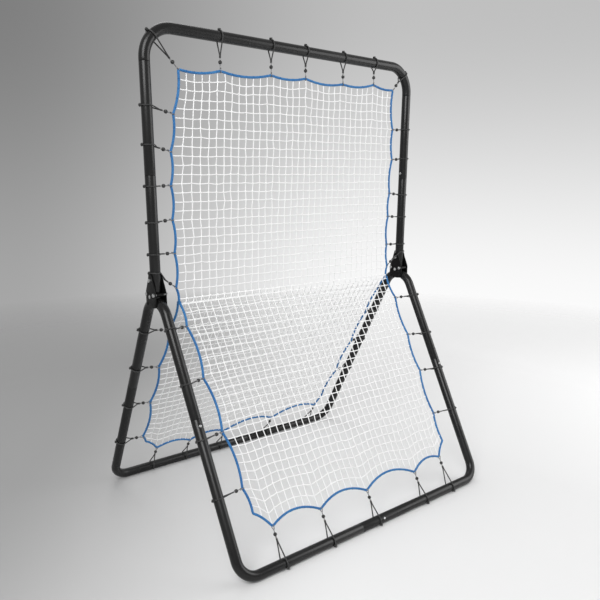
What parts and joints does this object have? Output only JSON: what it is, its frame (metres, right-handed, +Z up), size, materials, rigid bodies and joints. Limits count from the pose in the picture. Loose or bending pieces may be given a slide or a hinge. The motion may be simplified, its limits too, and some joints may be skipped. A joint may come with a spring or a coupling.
{
  "type": "double sided rebounder",
  "caption": "Free-standing tube frame with an upright net above and two sloping nets below, one to each side, on folding leg frames.",
  "frame": {"origin": "on the floor, midway between the two foot bars and midway between the side tubes", "axes": "+Z up; +X along the upper rail towards the right side tube; -Y towards the front leg frame"},
  "size_m": [1.3408, 1.0804, 1.836],
  "materials": {
    "powder_coat": "near-black powder coat, softly glossy",
    "plate_coat": "black paint, slightly duller than the tubes",
    "zinc": "bright zinc plating",
    "blue_rope": "braided blue rope; its ties are black elastic cord",
    "white_net": "white knotted net cord"
  },
  "bodies": {
    "upper_frame": {"upper_rail": "powder_coat", "upper_side_tube_left": "powder_coat", "lower_side_tube_left": "powder_coat", "upper_side_tube_right": "powder_coat", "lower_side_tube_right": "powder_coat", "hinge_plate_left_outer": "plate_coat", "hinge_plate_left_inner": "plate_coat", "pivot_pin_left_front": "plate_coat", "pivot_pin_left_rear": "plate_coat", "clamp_left_lower_bolt": "zinc", "clamp_left_lower_nut": "zinc", "clamp_left_upper_bolt": "zinc", "clamp_left_upper_nut": "zinc", "spacer_left_front_bolt": "zinc", "spacer_left_front_nut": "zinc", "spacer_left_rear_bolt": "zinc", "spacer_left_rear_nut": "zinc", "side_joint_screw_left": "zinc", "hinge_plate_right_outer": "plate_coat", "hinge_plate_right_inner": "plate_coat", "pivot_pin_right_front": "plate_coat", "pivot_pin_right_rear": "plate_coat", "clamp_right_lower_bolt": "zinc", "clamp_right_lower_nut": "zinc", "clamp_right_upper_bolt": "zinc", "clamp_right_upper_nut": "zinc", "spacer_right_front_bolt": "zinc", "spacer_right_front_nut": "zinc", "spacer_right_rear_bolt": "zinc", "spacer_right_rear_nut": "zinc", "side_joint_screw_right": "zinc", "net_upper": "white_net", "border_rope_upper": "blue_rope"},
    "front_leg_frame": {"front_leg_left": "powder_coat", "front_foot_bar_left": "powder_coat", "front_leg_right": "powder_coat", "front_foot_bar_right": "powder_coat", "front_leg_joint_screw_left": "zinc", "front_leg_joint_screw_right": "zinc", "front_foot_joint_screw": "zinc", "net_front": "white_net", "border_rope_front": "blue_rope"},
    "rear_leg_frame": {"rear_leg_left": "powder_coat", "rear_foot_bar_left": "powder_coat", "rear_leg_right": "powder_coat", "rear_foot_bar_right": "powder_coat", "rear_leg_joint_screw_left": "zinc", "rear_leg_joint_screw_right": "zinc", "rear_foot_joint_screw": "zinc", "net_rear": "white_net", "border_rope_rear": "blue_rope"}
  },
  "joints": [
    {"name": "front_leg_fold", "type": "hinge", "parent": "upper_frame", "child": "front_leg_frame", "pos_m": [0, -0.028, 0.89007], "axis": [1, 0, 0], "range_deg": [0, 27]},
    {"name": "rear_leg_fold", "type": "hinge", "parent": "upper_frame", "child": "rear_leg_frame", "pos_m": [0, 0.028, 0.89007], "axis": [-1, 0, 0], "range_deg": [0, 27]}
  ]
}
